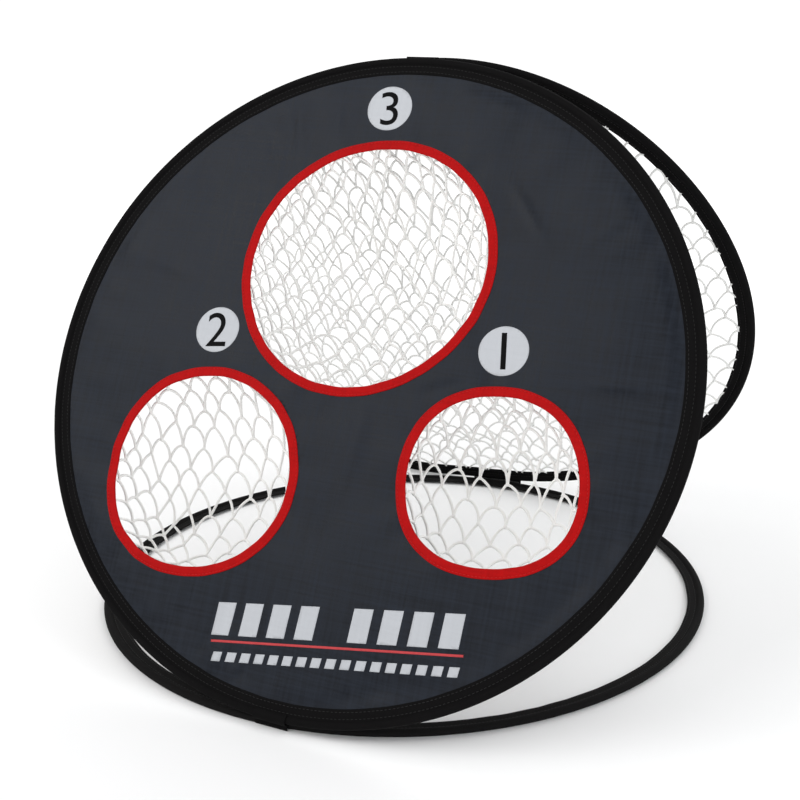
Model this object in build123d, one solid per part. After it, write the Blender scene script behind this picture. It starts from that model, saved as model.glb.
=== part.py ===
from build123d import *

import os
from math import cos, degrees, radians, sin

# Folding golf chipping target: three equal spring hoops tied side by side into a wedge.
# The row frame stands on the ground under the middle of the base hoop: +X to the player's
# right, +Y away from the player, +Z up. Millimetres.

# ---- hoops ----
HOOP_RADIUS = 305.0          # outer radius of each covered hoop, a 24 inch ring
SLEEVE_RADIUS = 3.6          # outside of the round tunnel that holds the wire
TUNNEL_RADIUS = 2.9          # inside of that tunnel
SLEEVE_WIDTH = 17.0          # tunnel and flat hem together, across the band
HEM_HALF = 0.9               # half the thickness of the flat hem
SLOT_HALF = 0.3              # half the gap in the hem that takes the panel's edge
WIRE_RADIUS = 1.6
FERRULE_RADIUS = 2.6
FERRULE_BORE = 1.65
FERRULE_LENGTH = 30.0
WIRE_END_GAP = 1.0           # space between the wire's two ends inside the ferrule
GROUND_FLAT = 3.4            # half the base sleeve's height: it is faceted, so it has a flat foot
SLEEVE_FACETS = 12
WIRE_CIRCLE = HOOP_RADIUS - SLEEVE_RADIUS

# ---- wedge ----
LEAN = 60.0                  # front and rear hoops against the ground
TIE_PITCH = 9.0              # wire to wire where two hoops are tied
TIE_HALF_WIDTH = 15.0
TIE_INNER = 4.2
TIE_OUTER = 5.0
TIE_REACH = 8.0              # the wedges that open a tie's loops are cut this far out

# ---- front panel ----
CLOTH = 0.4
EDGE_IN_HEM = 9.0            # how far the cloth's edge goes into the hem
PANEL_TURN = 7.0             # the panel is sewn in turned by this much
BINDING_WIDTH = 8.7
BINDING_HALF = 0.9
BINDING_LIP = 0.8            # tape beyond the cloth's cut edge
CUT_MARGIN = 1.0             # the hole in the cloth is this much larger than the bound hole
PRINT_THICKNESS = 0.3
DISC_RADIUS = 22.0

# name, centre in the panel, clear radius inside the binding, centre of its number disc
TARGETS = (
    ("1", (135.5, -94.3), 74.0, (138.0, 18.0)),
    ("2", (-135.5, -94.3), 88.5, (-137.0, 38.5)),
    ("3", (3.0, 99.0), 114.0, (10.5, 254.0)),
)

# ---- target nets ----
NET_WALL = 1.4
NET_START = 1.0              # the net's rim is sewn behind the binding
NET_RIM_MARGIN = 5.0
NET_DEPTH = 0.95             # depth of a pocket as a share of its hole's radius
# depth, radius and downhill droop of a pocket's rounds, as shares of its depth and radius
NET_ROUNDS = ((0.45, 0.93, 0.10), (0.85, 0.68, 0.28), (1.0, 0.35, 0.38))
REAR_NET_SAG = 25.0
REAR_NET_WALL = 1.2

# ---- printed emblem under the targets ----
BAR_COUNT = 8
BAR_SIZE = (17.0, 28.0)
BAR_SLANT = 5.0
BAR_PITCH = 25.5
EMBLEM_GAP = 22.0            # extra space between the two groups of bars
EMBLEM_MIDDLE = -219.0
RULE_MIDDLE = -238.5
RULE_SIZE = (226.0, 2.0)
DASH_COUNT = 17
DASH_SIZE = (8.5, 8.0)
DASH_PITCH = 13.2
DASH_SLANT = 2.0
DASH_MIDDLE = -251.5

# ---- hook-and-loop closure at the rear foot ----
FLAP_HALF_WIDTH = 32.0
STRIP_HALF_WIDTH = 30.0
FLAP_INNER = 309.7
FLAP_OUTER = 310.9
FLAP_BOTTOM = 1.0
FLAP_TOP = 11.0
HOOK_INNER = 307.3
HOOK_OUTER = 309.65
HOOK_BOTTOM = 1.4
HOOK_TOP = 6.2
LOOP_OUTER = 307.0
LOOP_INNER = 303.0
LOOP_GAP = 0.05              # the loop strip lies this close to the sleeve
LOOP_BOTTOM = 1.2
LOOP_TOP = 5.8

# ---- places of the hoops ----
TIE_Y = TIE_PITCH / 2
TIE_RISE = TIE_PITCH * sin(radians(LEAN))
FOOT_Y = WIRE_CIRCLE + TIE_Y
FOOT_Z = GROUND_FLAT + TIE_RISE
UP_Y = cos(radians(LEAN))
UP_Z = sin(radians(LEAN))
MIDDLE_Y = FOOT_Y - WIRE_CIRCLE * UP_Y
MIDDLE_Z = FOOT_Z + WIRE_CIRCLE * UP_Z
APEX_Z = FOOT_Z + 2 * WIRE_CIRCLE * UP_Z

BASE = Plane(origin=(0, 0, GROUND_FLAT), x_dir=(1, 0, 0), z_dir=(0, 0, 1))
# local y runs up the slope; local z points at the player on the front hoop
# and into the wedge on the rear hoop
FRONT = Plane(origin=(0, -MIDDLE_Y, MIDDLE_Z), x_dir=(1, 0, 0), z_dir=(0, -UP_Z, UP_Y))
REAR = Plane(origin=(0, MIDDLE_Y, MIDDLE_Z), x_dir=(1, 0, 0), z_dir=(0, -UP_Z, -UP_Y))


def spun(section, arc=360.0, start=0.0):
    """Revolve a radial section (x is the radius, y the height) about the hoop's own axis."""
    return Rot(0, 0, start) * revolve(Plane.XZ * section, Axis.Z, arc)


def band(inner, outer, low, high):
    """Rectangle in a radial section."""
    return Pos((inner + outer) / 2, (low + high) / 2) * Rectangle(outer - inner, high - low)


def hoop_wire():
    """Round spring wire, its two ends a small gap apart."""
    gap = degrees(WIRE_END_GAP / WIRE_CIRCLE)
    return spun(Pos(WIRE_CIRCLE, 0) * Circle(WIRE_RADIUS), 360 - gap, gap / 2)


def hoop_ferrule():
    """Short crimped tube over the wire's two ends."""
    arc = degrees(FERRULE_LENGTH / WIRE_CIRCLE)
    section = Pos(WIRE_CIRCLE, 0) * (Circle(FERRULE_RADIUS) - Circle(FERRULE_BORE))
    return spun(section, arc, -arc / 2)


def sleeve(tunnel):
    """Section of a sleeve: a tunnel of the given outline with a plain hem towards the middle."""
    hem = band(HOOP_RADIUS - SLEEVE_WIDTH, WIRE_CIRCLE, -HEM_HALF, HEM_HALF)
    return Pos(WIRE_CIRCLE, 0) * tunnel + hem - Pos(WIRE_CIRCLE, 0) * Circle(TUNNEL_RADIUS)


def ground_sleeve():
    """Sleeve of the base hoop, faceted so that it stands on a flat ring."""
    facets = Rot(0, 0, 180 / SLEEVE_FACETS) * RegularPolygon(GROUND_FLAT, SLEEVE_FACETS, major_radius=False)
    return spun(sleeve(facets))


def cloth_sleeve():
    """Sleeve whose hem takes the edge of a cloth or net."""
    slot = band(HOOP_RADIUS - SLEEVE_WIDTH - 1, WIRE_CIRCLE, -SLOT_HALF, SLOT_HALF)
    return spun(sleeve(Circle(SLEEVE_RADIUS)) - slot)


def on_panel(point):
    """Turn a point of the panel's own layout into the front hoop's axes."""
    turn = radians(PANEL_TURN)
    x, y = point
    return (x * cos(turn) - y * sin(turn), x * sin(turn) + y * cos(turn))


def panel():
    """Cloth disc with three cut holes; its edge lies inside the hem."""
    edge = HOOP_RADIUS - SLEEVE_WIDTH + EDGE_IN_HEM
    cloth = Cylinder(edge, CLOTH)
    for _, centre, clear, _ in TARGETS:
        cloth -= Pos(*on_panel(centre)) * Cylinder(clear + CUT_MARGIN, CLOTH * 3)
    return cloth


def hole_binding(centre, clear):
    """Folded tape round the edge of one hole."""
    tape = band(clear, clear + BINDING_WIDTH, -BINDING_HALF, BINDING_HALF)
    fold = band(clear + BINDING_LIP, clear + BINDING_WIDTH + 1, -SLOT_HALF, SLOT_HALF)
    return Pos(*on_panel(centre)) * spun(tape - fold)


def net_bag(radius, wall):
    """Solid form of a drooping pocket, taken in by wall on every side but the mouth."""
    depth = radius * NET_DEPTH
    lift = NET_START - (0.1 if wall else 0.0)
    rounds = [Pos(0, 0, -lift) * Circle(radius + NET_RIM_MARGIN - wall)]
    for share, width, droop in NET_ROUNDS:
        floor = wall if share == 1.0 else 0.0
        rounds.append(Pos(0, -droop * radius, floor - share * depth) * Circle(width * radius - wall))
    return loft(rounds)


def pocket_net(centre, clear):
    """Net bag behind one hole, open towards the player."""
    return Pos(*on_panel(centre)) * (net_bag(clear, 0.0) - net_bag(clear, NET_WALL))


def number_disc(centre):
    """Printed disc that carries a target's number."""
    lift = (CLOTH + PRINT_THICKNESS) / 2
    return Pos(*on_panel(centre), lift) * Cylinder(DISC_RADIUS, PRINT_THICKNESS)


def slanted(size, slant):
    """Leaning bar, as a flat outline."""
    wide = size[0] / 2
    tall = size[1] / 2
    corners = (
        (-wide - slant / 2, -tall),
        (wide - slant / 2, -tall),
        (wide + slant / 2, tall),
        (-wide + slant / 2, tall),
    )
    return Polygon(*corners, align=None)


def printed(outlines):
    """Thin prints on the face of the panel, turned with it."""
    raised = extrude(Sketch() + outlines, PRINT_THICKNESS)
    return Pos(0, 0, CLOTH / 2) * Rot(0, 0, PANEL_TURN) * raised


def emblem_bars():
    """Two groups of leaning bars."""
    outlines = []
    for index in range(BAR_COUNT):
        side = 1 if index >= BAR_COUNT / 2 else -1
        x = (index - (BAR_COUNT - 1) / 2) * BAR_PITCH + side * EMBLEM_GAP / 2
        outlines.append(Pos(x, EMBLEM_MIDDLE) * slanted(BAR_SIZE, BAR_SLANT))
    return printed(outlines)


def emblem_rule():
    """Thin line under the bars."""
    return printed([Pos(0, RULE_MIDDLE) * Rectangle(*RULE_SIZE)])


def emblem_dashes():
    """Row of small leaning dashes under the line."""
    outlines = []
    for index in range(DASH_COUNT):
        x = (index - (DASH_COUNT - 1) / 2) * DASH_PITCH
        outlines.append(Pos(x, DASH_MIDDLE) * slanted(DASH_SIZE, DASH_SLANT))
    return printed(outlines)


def net_dome(height, lift):
    """Solid cap of a sphere over the rear net's rim, height mm tall, its rim raised by lift."""
    rim = HOOP_RADIUS - SLEEVE_WIDTH - SLEEVE_RADIUS
    ball = (rim * rim + height * height) / (2 * height)
    cap = Pos(0, 0, height - ball) * Sphere(ball)
    slab_cut = Pos(0, 0, height) * Cylinder(rim, 2 * height)
    return Pos(0, 0, lift) * (cap & slab_cut)


def rear_net():
    """Shallow sagging net, its edge inside the rear hem."""
    edge = HOOP_RADIUS - SLEEVE_WIDTH + EDGE_IN_HEM
    flat = Cylinder(edge, CLOTH)
    dome = net_dome(REAR_NET_SAG, CLOTH / 2)
    inside = net_dome(REAR_NET_SAG, CLOTH / 2 - REAR_NET_WALL)
    return flat + dome - inside


def fan(centre, start, end):
    """Wedge of a circle from start to end degrees, as a flat outline."""
    steps = 12
    points = [centre]
    for index in range(steps + 1):
        angle = radians(start + (end - start) * index / steps)
        points.append((centre[0] + TIE_REACH * cos(angle), centre[1] + TIE_REACH * sin(angle)))
    return Polygon(*points, align=None)


def tie(open_first, open_second):
    """Two joined loops round a pair of wires, each left open over one range of angles.

    Its section lies with the first wire at the origin and the second on +x.
    """
    first = (0.0, 0.0)
    second = (TIE_PITCH, 0.0)
    section = Pos(*first) * Circle(TIE_OUTER) + Pos(*second) * Circle(TIE_OUTER)
    section = section - Pos(*first) * Circle(TIE_INNER) - Pos(*second) * Circle(TIE_INNER)
    section = section - fan(first, *open_first) - fan(second, *open_second)
    return extrude(section, TIE_HALF_WIDTH, both=True)


def placed_tie(piece, y, z, direction):
    """Stand a tie across X with its first wire at (y, z) and its second towards direction."""
    along = (0, cos(radians(direction)), sin(radians(direction)))
    return Plane(origin=(0, y, z), x_dir=along, z_dir=(1, 0, 0)) * piece


def slab(half_width, low_y, high_y, low_z, high_z):
    """Flat block across the rear foot."""
    middle = Pos(0, (low_y + high_y) / 2, (low_z + high_z) / 2)
    return middle * Box(2 * half_width, high_y - low_y, high_z - low_z)


def loop_strip():
    """Loop strip sewn outside the base sleeve, hollowed to its curve."""
    block = slab(STRIP_HALF_WIDTH, LOOP_INNER, LOOP_OUTER, LOOP_BOTTOM, LOOP_TOP)
    return block - Cylinder(HOOP_RADIUS + LOOP_GAP, 4 * LOOP_TOP)


pieces = {
    "base_sleeve": BASE * ground_sleeve(),
    "front_sleeve": FRONT * cloth_sleeve(),
    "rear_sleeve": REAR * cloth_sleeve(),
    "front_panel": FRONT * panel(),
    "emblem_bars": FRONT * emblem_bars(),
    "emblem_rule": FRONT * emblem_rule(),
    "emblem_dashes": FRONT * emblem_dashes(),
    "rear_net": REAR * rear_net(),
    "front_hinge_tie": placed_tie(tie((95, 325), (-85, -35)), -WIRE_CIRCLE, GROUND_FLAT, 120),
    "apex_tie": placed_tie(tie((65, 265), (-85, 115)), -TIE_Y, APEX_Z, 0),
    "closure_loop_strip": loop_strip(),
    "closure_hook_strip": slab(STRIP_HALF_WIDTH, HOOK_INNER, HOOK_OUTER, HOOK_BOTTOM, HOOK_TOP),
    "closure_flap": slab(FLAP_HALF_WIDTH, FLAP_INNER, FLAP_OUTER, FLAP_BOTTOM, FLAP_TOP),
}
for name, plane, seam in (("base", BASE, 150), ("front", FRONT, 215), ("rear", REAR, 325)):
    pieces[f"{name}_hoop_wire"] = plane * Rot(0, 0, seam) * hoop_wire()
    pieces[f"{name}_hoop_ferrule"] = plane * Rot(0, 0, seam) * hoop_ferrule()
for name, centre, clear, disc in TARGETS:
    pieces[f"hole_binding_{name}"] = FRONT * hole_binding(centre, clear)
    pieces[f"pocket_net_{name}"] = FRONT * pocket_net(centre, clear)
    pieces[f"number_disc_{name}"] = FRONT * number_disc(disc)

os.makedirs("parts", exist_ok=True)
for name, piece in pieces.items():
    export_step(piece, f"parts/{name}.step")
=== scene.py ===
"""Folding chipping target: three fabric-covered spring hoops tied into a wedge, with bound holes and twine nets."""

import logging
import random
from dataclasses import dataclass, field
from enum import Enum
from math import asin, atan2, cos, hypot, pi, radians, sin, sqrt
from typing import Callable, Iterable, Sequence

import bmesh
import bpy
import numpy as np
from mathutils import Matrix, Quaternion, Vector, noise


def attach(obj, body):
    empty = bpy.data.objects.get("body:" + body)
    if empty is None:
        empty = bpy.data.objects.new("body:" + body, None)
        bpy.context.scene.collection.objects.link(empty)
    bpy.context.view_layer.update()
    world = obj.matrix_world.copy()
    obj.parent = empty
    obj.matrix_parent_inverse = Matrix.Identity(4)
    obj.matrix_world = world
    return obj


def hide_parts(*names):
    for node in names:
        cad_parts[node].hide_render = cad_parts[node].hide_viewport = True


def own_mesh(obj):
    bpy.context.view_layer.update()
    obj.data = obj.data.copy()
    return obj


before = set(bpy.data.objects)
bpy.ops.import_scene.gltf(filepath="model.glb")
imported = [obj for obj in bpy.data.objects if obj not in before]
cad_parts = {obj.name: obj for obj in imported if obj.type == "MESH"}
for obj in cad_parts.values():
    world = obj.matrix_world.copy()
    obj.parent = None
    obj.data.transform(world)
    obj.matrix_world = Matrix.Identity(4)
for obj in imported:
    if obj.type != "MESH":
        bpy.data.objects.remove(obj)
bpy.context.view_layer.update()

LOG = logging.getLogger("chipping_target")
Colour = tuple[float, float, float]
Point = tuple[float, float]

# Sizes in metres, the same as the CAD's.
HOOP_RADIUS = 0.305
WIRE_CIRCLE = 0.3014
SLEEVE_RADIUS = 0.0036
TUNNEL_RADIUS = 0.0029
SLEEVE_WIDTH = 0.017
HEM_HALF = 0.0009
WIRE_RADIUS = 0.0016
FERRULE_RADIUS = 0.0026
FERRULE_BORE = 0.00165
FERRULE_LENGTH = 0.030
GROUND_FLAT = 0.0034
CLOTH = 0.0004
PANEL_RADIUS = 0.297
PANEL_TURN = radians(7.0)
BINDING_WIDTH = 0.0087
PRINT_LIFT = 0.00005
LEAN = radians(60.0)
FOOT_Y = 0.3059
FOOT_Z = 0.011194
MIDDLE_Y = FOOT_Y - WIRE_CIRCLE * cos(LEAN)
MIDDLE_Z = FOOT_Z + WIRE_CIRCLE * sin(LEAN)


class Body(Enum):
    """The moving bodies of the frame."""

    BASE = "base"
    FRONT = "front"
    APEX = "apex"
    REAR = "rear"


class Spread(Enum):
    """How a noise is stretched along a cloth's threads."""

    EVEN = (1.0, 1.0, 1.0)
    ACROSS = (0.03, 1.0, 1.0)
    ALONG = (1.0, 0.03, 1.0)


# ---------------------------------------------------------------- node groups


class NodeSheet:
    """Thin helper that adds and joins nodes in one tree."""

    def __init__(self, tree: bpy.types.NodeTree) -> None:
        """Keep the tree that the nodes go into."""
        self.tree = tree

    def add(self, kind: str, **values: object) -> bpy.types.Node:
        """Add a node.

        Args:
            kind: the node's type name.
            values: attributes to set, or default values of inputs named with a leading i_ and a number.

        Returns:
            The new node.
        """
        node = self.tree.nodes.new(kind)
        for key, value in values.items():
            if key.startswith("i_"):
                node.inputs[int(key[2:])].default_value = value
            else:
                setattr(node, key, value)
        return node

    def join(self, source: bpy.types.NodeSocket, target: bpy.types.NodeSocket) -> None:
        """Link two sockets."""
        self.tree.links.new(source, target)

    def maths(self, operation: str, first: object, second: object = 0.0) -> bpy.types.NodeSocket:
        """Add a Math node.

        Args:
            operation: the Math node's operation.
            first: a socket or a number.
            second: a socket or a number.

        Returns:
            The result socket.
        """
        node = self.add("ShaderNodeMath", operation=operation)
        for index, value in enumerate((first, second)):
            if isinstance(value, bpy.types.NodeSocket):
                self.join(value, node.inputs[index])
            else:
                node.inputs[index].default_value = value
        return node.outputs[0]

    def noise(
        self, place: bpy.types.NodeSocket, scale: float, spread: Spread = Spread.EVEN, detail: float = 2.0
    ) -> bpy.types.NodeSocket:
        """Add a noise texture.

        Args:
            place: the vector that it is read at.
            scale: features per metre.
            spread: how it is stretched.
            detail: octaves.

        Returns:
            The noise value, about 0.5 in the mean.
        """
        stretch = self.add("ShaderNodeVectorMath", operation="MULTIPLY")
        self.join(place, stretch.inputs[0])
        stretch.inputs[1].default_value = spread.value
        texture = self.add("ShaderNodeTexNoise")
        texture.inputs["Scale"].default_value = scale
        texture.inputs["Detail"].default_value = detail
        self.join(stretch.outputs[0], texture.inputs["Vector"])
        return texture.outputs["Fac"]


def new_group(name: str, inputs: Sequence[tuple[str, float]]) -> tuple[bpy.types.NodeTree, NodeSheet, object, object]:
    """Start a shader node group that takes a vector and numbers, and puts out Shade and Height.

    Args:
        name: the group's name.
        inputs: name and default of each number that it takes.

    Returns:
        The tree, a helper for it, its input node and its output node.
    """
    tree = bpy.data.node_groups.new(name, "ShaderNodeTree")
    tree.interface.new_socket("Place", in_out="INPUT", socket_type="NodeSocketVector")
    for label, default in inputs:
        tree.interface.new_socket(label, in_out="INPUT", socket_type="NodeSocketFloat").default_value = default
    for label in ("Shade", "Height"):
        tree.interface.new_socket(label, in_out="OUTPUT", socket_type="NodeSocketFloat")
    sheet = NodeSheet(tree)
    return tree, sheet, sheet.add("NodeGroupInput"), sheet.add("NodeGroupOutput")


def plain_weave_group() -> bpy.types.NodeTree:
    """Over-and-under threads with slubs along both directions.

    Returns:
        The group. Shade is a value round 0.5, Height the threads' relief.
    """
    tree, sheet, given, out = new_group("plain_weave", (("Threads per metre", 2400.0), ("Slub", 0.5)))
    split = sheet.add("ShaderNodeSeparateXYZ")
    sheet.join(given.outputs["Place"], split.inputs[0])
    threads = given.outputs["Threads per metre"]
    warp = sheet.maths("SINE", sheet.maths("MULTIPLY", sheet.maths("MULTIPLY", split.outputs[0], threads), pi))
    weft = sheet.maths("SINE", sheet.maths("MULTIPLY", sheet.maths("MULTIPLY", split.outputs[1], threads), pi))
    crossing = sheet.maths("MULTIPLY", warp, weft)
    across = sheet.noise(given.outputs["Place"], 420.0, Spread.ACROSS)
    along = sheet.noise(given.outputs["Place"], 360.0, Spread.ALONG)
    slubs = sheet.maths("MULTIPLY", sheet.maths("SUBTRACT", sheet.maths("ADD", across, along), 1.0), given.outputs["Slub"])
    sheet.join(sheet.maths("ADD", sheet.maths("MULTIPLY", crossing, 0.5), slubs), out.inputs["Height"])
    sheet.join(sheet.maths("ADD", slubs, 0.5), out.inputs["Shade"])
    return tree


def fibre_group() -> bpy.types.NodeTree:
    """Loose fibres and handling marks, for twine and tape.

    Returns:
        The group. Shade is a value round 0.5, Height the fibres' relief.
    """
    tree, sheet, given, out = new_group("fibre", (("Fineness", 2500.0), ("Blotch", 0.3)))
    fine = sheet.add("ShaderNodeTexNoise")
    fine.inputs["Detail"].default_value = 3.0
    sheet.join(given.outputs["Place"], fine.inputs["Vector"])
    sheet.join(given.outputs["Fineness"], fine.inputs["Scale"])
    coarse = sheet.noise(given.outputs["Place"], 38.0)
    blotch = sheet.maths("MULTIPLY", sheet.maths("SUBTRACT", coarse, 0.5), given.outputs["Blotch"])
    sheet.join(fine.outputs["Fac"], out.inputs["Height"])
    lift = sheet.maths("MULTIPLY", sheet.maths("SUBTRACT", fine.outputs["Fac"], 0.5), 0.35)
    sheet.join(sheet.maths("ADD", sheet.maths("ADD", blotch, lift), 0.5), out.inputs["Shade"])
    return tree


# ---------------------------------------------------------------- finishes


@dataclass(frozen=True)
class Finish:
    """One woven, spun, printed or metal finish, mixed between two colours by a node group."""

    name: str
    slot: str
    low: Colour
    high: Colour
    group: str
    settings: tuple[tuple[str, float], ...] = ()
    tilt: float = 0.0
    roughness: float = 0.8
    rough_swing: float = 0.1
    specular: float = 0.3
    sheen: float = 0.0
    metallic: float = 0.0
    bump: float = 0.3
    bump_depth: float = 0.0002

    def material(self) -> bpy.types.Material:
        """Build the finish's material, or give the one already built.

        Returns:
            The material.
        """
        made = bpy.data.materials.get(self.name)
        if made:
            return made
        made = bpy.data.materials.new(self.name)
        made.use_nodes = True
        sheet = NodeSheet(made.node_tree)
        shader = made.node_tree.nodes["Principled BSDF"]
        shader.inputs["Specular IOR Level"].default_value = self.specular
        shader.inputs["Sheen Weight"].default_value = self.sheen
        shader.inputs["Sheen Roughness"].default_value = 0.4
        shader.inputs["Metallic"].default_value = self.metallic
        place = sheet.add("ShaderNodeTexCoord")
        turn = sheet.add("ShaderNodeMapping")
        turn.inputs["Rotation"].default_value = (self.tilt, 0.0, 0.0)
        sheet.join(place.outputs["Object"], turn.inputs["Vector"])
        pattern = sheet.add("ShaderNodeGroup", node_tree=bpy.data.node_groups[self.group])
        for label, value in self.settings:
            pattern.inputs[label].default_value = value
        sheet.join(turn.outputs["Vector"], pattern.inputs["Place"])
        shade = sheet.add("ShaderNodeMix", data_type="RGBA")
        shade.inputs[6].default_value = (*self.low, 1.0)
        shade.inputs[7].default_value = (*self.high, 1.0)
        sheet.join(pattern.outputs["Shade"], shade.inputs[0])
        sheet.join(shade.outputs[2], shader.inputs["Base Color"])
        swing = sheet.maths("MULTIPLY", sheet.maths("SUBTRACT", pattern.outputs["Shade"], 0.5), self.rough_swing)
        sheet.join(sheet.maths("ADD", swing, self.roughness), shader.inputs["Roughness"])
        bump = sheet.add("ShaderNodeBump")
        bump.inputs["Strength"].default_value = self.bump
        bump.inputs["Distance"].default_value = self.bump_depth
        sheet.join(pattern.outputs["Height"], bump.inputs["Height"])
        sheet.join(bump.outputs["Normal"], shader.inputs["Normal"])
        return made


WEAVE = (("Threads per metre", 1500.0), ("Slub", 0.55))
PANEL_CLOTH = Finish(
    "slate_nylon", "panel_navy", (0.0026, 0.0042, 0.0082), (0.0100, 0.0138, 0.0222), "plain_weave",
    (("Threads per metre", 2200.0), ("Slub", 1.5)), tilt=-LEAN, roughness=0.42, rough_swing=0.2, specular=0.17,
    bump=0.35, bump_depth=0.00015,
)
SLEEVE_CLOTH = Finish(
    "black_sleeve_cloth", "sleeve_black", (0.0030, 0.0028, 0.0030), (0.0062, 0.0058, 0.0060), "plain_weave", WEAVE,
    tilt=-LEAN, roughness=0.85, specular=0.06, bump=0.35,
)
REAR_SLEEVE_CLOTH = Finish(
    "black_rear_sleeve_cloth", "sleeve_black", (0.0030, 0.0028, 0.0030), (0.0062, 0.0058, 0.0060), "plain_weave",
    WEAVE, tilt=LEAN, roughness=0.85, specular=0.06, bump=0.35,
)
# Painted light: a lighter copy of the black sleeve cloth, for the base hoop and the closure flap that lie flat and
# face the lamps.
LIT_BASE_SLEEVE_CLOTH = Finish(
    "painted_lit_base_sleeve_cloth", "sleeve_black", (0.005, 0.0047, 0.0048), (0.010, 0.0095, 0.0095), "plain_weave",
    WEAVE, roughness=0.85, specular=0.08, bump=0.35,
)
RED_TAPE = Finish(
    "red_binding_tape", "binding_red", (0.24, 0.0015, 0.002), (0.50, 0.004, 0.0045), "plain_weave",
    (("Threads per metre", 1300.0), ("Slub", 0.45)), tilt=-LEAN, roughness=0.6, specular=0.07, bump=0.6,
)
RED_THREAD = Finish(
    "red_thread", "binding_red", (0.34, 0.003, 0.004), (0.60, 0.010, 0.010), "fibre", roughness=0.6, bump=0.2
)
BLACK_THREAD = Finish(
    "black_thread", "sleeve_black", (0.008, 0.008, 0.008), (0.02, 0.02, 0.02), "fibre", roughness=0.6, bump=0.2
)
WHITE_TWINE = Finish(
    "white_twine", "net_white", (0.80, 0.80, 0.78), (0.96, 0.96, 0.94), "fibre",
    (("Fineness", 1800.0), ("Blotch", 0.5)), roughness=0.72, specular=0.3, bump=0.5, bump_depth=0.0003,
)
PRINT_GREY = Finish(
    "pale_print_ink", "print_grey", (0.40, 0.415, 0.44), (0.50, 0.515, 0.545), "plain_weave",
    (("Threads per metre", 2200.0), ("Slub", 0.4)), tilt=-LEAN, roughness=0.6, specular=0.3, bump=0.12,
)
PRINT_DARK = Finish(
    "dark_numeral_ink", "panel_navy", (0.0015, 0.0015, 0.0018), (0.0035, 0.0035, 0.004), "plain_weave",
    (("Threads per metre", 2200.0), ("Slub", 0.4)), tilt=-LEAN, roughness=0.6, specular=0.06, bump=0.12,
)
PRINT_RED = Finish(
    "red_print_ink", "print_red", (0.40, 0.035, 0.04), (0.55, 0.05, 0.055), "plain_weave",
    (("Threads per metre", 2200.0), ("Slub", 0.4)), tilt=-LEAN, roughness=0.6, specular=0.3, bump=0.12,
)
SPRING_STEEL = Finish(
    "drawn_spring_steel", "spring_steel", (0.42, 0.42, 0.43), (0.60, 0.60, 0.61), "fibre",
    (("Fineness", 900.0), ("Blotch", 0.4)), roughness=0.35, rough_swing=0.25, metallic=1.0, bump=0.1,
)
FERRULE_STEEL = Finish(
    "crimped_steel", "ferrule_steel", (0.33, 0.33, 0.34), (0.50, 0.50, 0.51), "fibre",
    (("Fineness", 700.0), ("Blotch", 0.5)), roughness=0.45, rough_swing=0.25, metallic=1.0, bump=0.25,
)
LOOP_TAPE = Finish(
    "black_loop_tape", "closure_black", (0.007, 0.007, 0.007), (0.022, 0.022, 0.022), "fibre",
    (("Fineness", 1500.0), ("Blotch", 0.3)), roughness=0.95, specular=0.1, sheen=0.4, bump=0.9, bump_depth=0.0006,
)


def dress_node(name: str, finish: Finish) -> None:
    """Give a CAD node a finish.

    Args:
        name: the node.
        finish: what it is made of.
    """
    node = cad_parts[name]
    node.data.materials.clear()
    node.data.materials.append(finish.material())
    LOG.info("dressed %s with %s", name, finish.name)


def finished_piece(name: str, shape: bmesh.types.BMesh, body: Body, finish: Finish, *nodes: str) -> bpy.types.Object:
    """Turn a shape into a piece of the object.

    Args:
        name: the piece's name.
        shape: its geometry in the row frame; it is freed.
        body: the body it rides on.
        finish: its material.
        nodes: the CAD nodes that it stands for.

    Returns:
        The new object.
    """
    mesh = bpy.data.meshes.new(name)
    shape.to_mesh(mesh)
    shape.free()
    mesh.polygons.foreach_set("use_smooth", [True] * len(mesh.polygons))
    mesh.materials.append(finish.material())
    piece = bpy.data.objects.new(name, mesh)
    bpy.context.scene.collection.objects.link(piece)
    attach(piece, body.value)
    if nodes:
        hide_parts(*nodes)
    LOG.info("%s: %d faces on %s", name, len(mesh.polygons), body.value)
    return piece


# ---------------------------------------------------------------- hoops


@dataclass(frozen=True)
class HoopShape:
    """Where a spring hoop lies, and how far its sides have sprung out of round between its two tied ends."""

    origin: Vector
    across: Vector
    up: Vector
    facing: Vector
    side: float = 0.0
    skew: float = 0.0
    skew_shift: float = 0.0
    shift: float = 0.0
    lift: float = 0.0
    corner: float = 0.0
    corner_at: float = radians(-115)
    corner_width: float = radians(22)

    def spring_out(self, angle: float) -> float:
        """How far the hoop has sprung outwards at an angle from its own x axis."""
        free = (cos(2 * angle) + 1) / 2
        turn = (angle - self.corner_at + pi) % (2 * pi) - pi
        bulge = self.corner * 2.718 ** (-((turn / self.corner_width) ** 2)) * smooth_share(abs(cos(angle)) / 0.45)
        skew = (self.skew + self.skew_shift * cos(angle)) * sin(2 * angle)
        return (self.side + self.shift * cos(angle)) * free + skew + bulge

    def point(self, flat: Vector) -> Vector:
        """Move a point of the hoop's own flat layout into the row frame.

        Args:
            flat: x across, y up the slope, z out of the hoop's plane.

        Returns:
            The point in the row frame.
        """
        angle = atan2(flat.y, flat.x)
        share = hypot(flat.x, flat.y) / HOOP_RADIUS
        free = (cos(2 * angle) + 1) / 2
        out = self.spring_out(angle) * share
        x = flat.x + out * cos(angle)
        y = flat.y + out * sin(angle)
        z = flat.z + self.lift * free * share * share
        return self.origin + self.across * x + self.up * y + self.facing * z

    def place(self, verts: Iterable[bmesh.types.BMVert]) -> None:
        """Move vertices from the flat layout into the row frame."""
        for vert in verts:
            vert.co = self.point(vert.co)


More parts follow.
